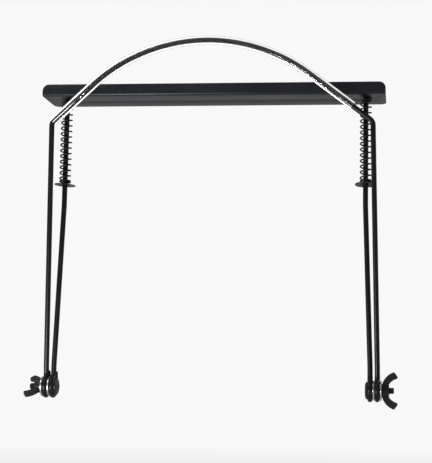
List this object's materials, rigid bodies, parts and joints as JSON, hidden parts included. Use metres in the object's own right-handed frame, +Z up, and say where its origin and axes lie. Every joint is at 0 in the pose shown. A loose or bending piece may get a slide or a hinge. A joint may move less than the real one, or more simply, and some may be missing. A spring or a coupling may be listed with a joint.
{
  "type": "harmonica neck holder",
  "caption": "Neck-worn harmonica holder: bent rod yoke with a clear soft tube, hinged rod arms with wing nuts and spring-pressed angle jaws.",
  "frame": {"origin": "where the neck lies: inner side of the soft tube at the middle of the yoke's arc", "axes": "+Z up along the arms, +X across the holder to the side with the longer bare rod, -Y from the arms towards the yoke"},
  "size_m": [0.2258, 0.0424, 0.2231],
  "materials": {
    "coated_rod": "satin black coating over steel rod",
    "coated_sheet": "satin black coating over folded steel sheet",
    "clear_tube": "clear soft vinyl tube, smooth",
    "spring_wire": "black oxide spring wire",
    "black_fastener": "black oxide, satin",
    "plated_washer": "bright zinc plate"
  },
  "bodies": {
    "yoke": {"yoke_rod": "coated_rod", "neck_tube": "clear_tube", "left_bolt": "black_fastener", "right_bolt": "black_fastener", "left_inner_washer": "plated_washer", "right_inner_washer": "plated_washer"},
    "arms": {"left_arm_rod": "coated_rod", "right_arm_rod": "coated_rod", "upper_jaw": "coated_sheet", "left_push_nut": "black_fastener", "right_push_nut": "black_fastener", "left_spring": "spring_wire", "right_spring": "spring_wire"},
    "sliding_jaw": {"lower_jaw": "coated_sheet"},
    "left_clamp": {"left_outer_washer": "plated_washer"},
    "left_nut": {"left_wing_nut": "black_fastener"},
    "right_clamp": {"right_outer_washer": "plated_washer"},
    "right_nut": {"right_wing_nut": "black_fastener"}
  },
  "joints": [
    {"name": "arm_hinge", "type": "hinge", "parent": "yoke", "child": "arms", "pos_m": [0, 0.02246, -0.20679], "axis": [-1, 0, 0], "range_deg": [0, 340]},
    {"name": "jaw_slide", "type": "slide", "parent": "arms", "child": "sliding_jaw", "axis": [0, 0, -1], "range_m": [0, 0.022], "stiffness_N_per_m": 1900, "springref_m": -0.007, "deforming": ["left_spring", "right_spring"]},
    {"name": "left_nut_travel", "type": "slide", "parent": "yoke", "child": "left_clamp", "axis": [-1, 0, 0], "range_m": [0, 0.0021]},
    {"name": "left_nut_turn", "type": "hinge", "parent": "left_clamp", "child": "left_nut", "pos_m": [-0.106, 0.02246, -0.20679], "axis": [-1, 0, 0], "range_deg": [0, 1080]},
    {"name": "right_nut_travel", "type": "slide", "parent": "yoke", "child": "right_clamp", "axis": [1, 0, 0], "range_m": [0, 0.0021]},
    {"name": "right_nut_turn", "type": "hinge", "parent": "right_clamp", "child": "right_nut", "pos_m": [0.106, 0.02246, -0.20679], "axis": [1, 0, 0], "range_deg": [0, 1080]}
  ],
  "couplings": [
    {"joint": "left_nut_turn", "follows": "left_nut_travel", "rad_per_m": 8976},
    {"joint": "right_nut_turn", "follows": "right_nut_travel", "rad_per_m": 8976}
  ]
}
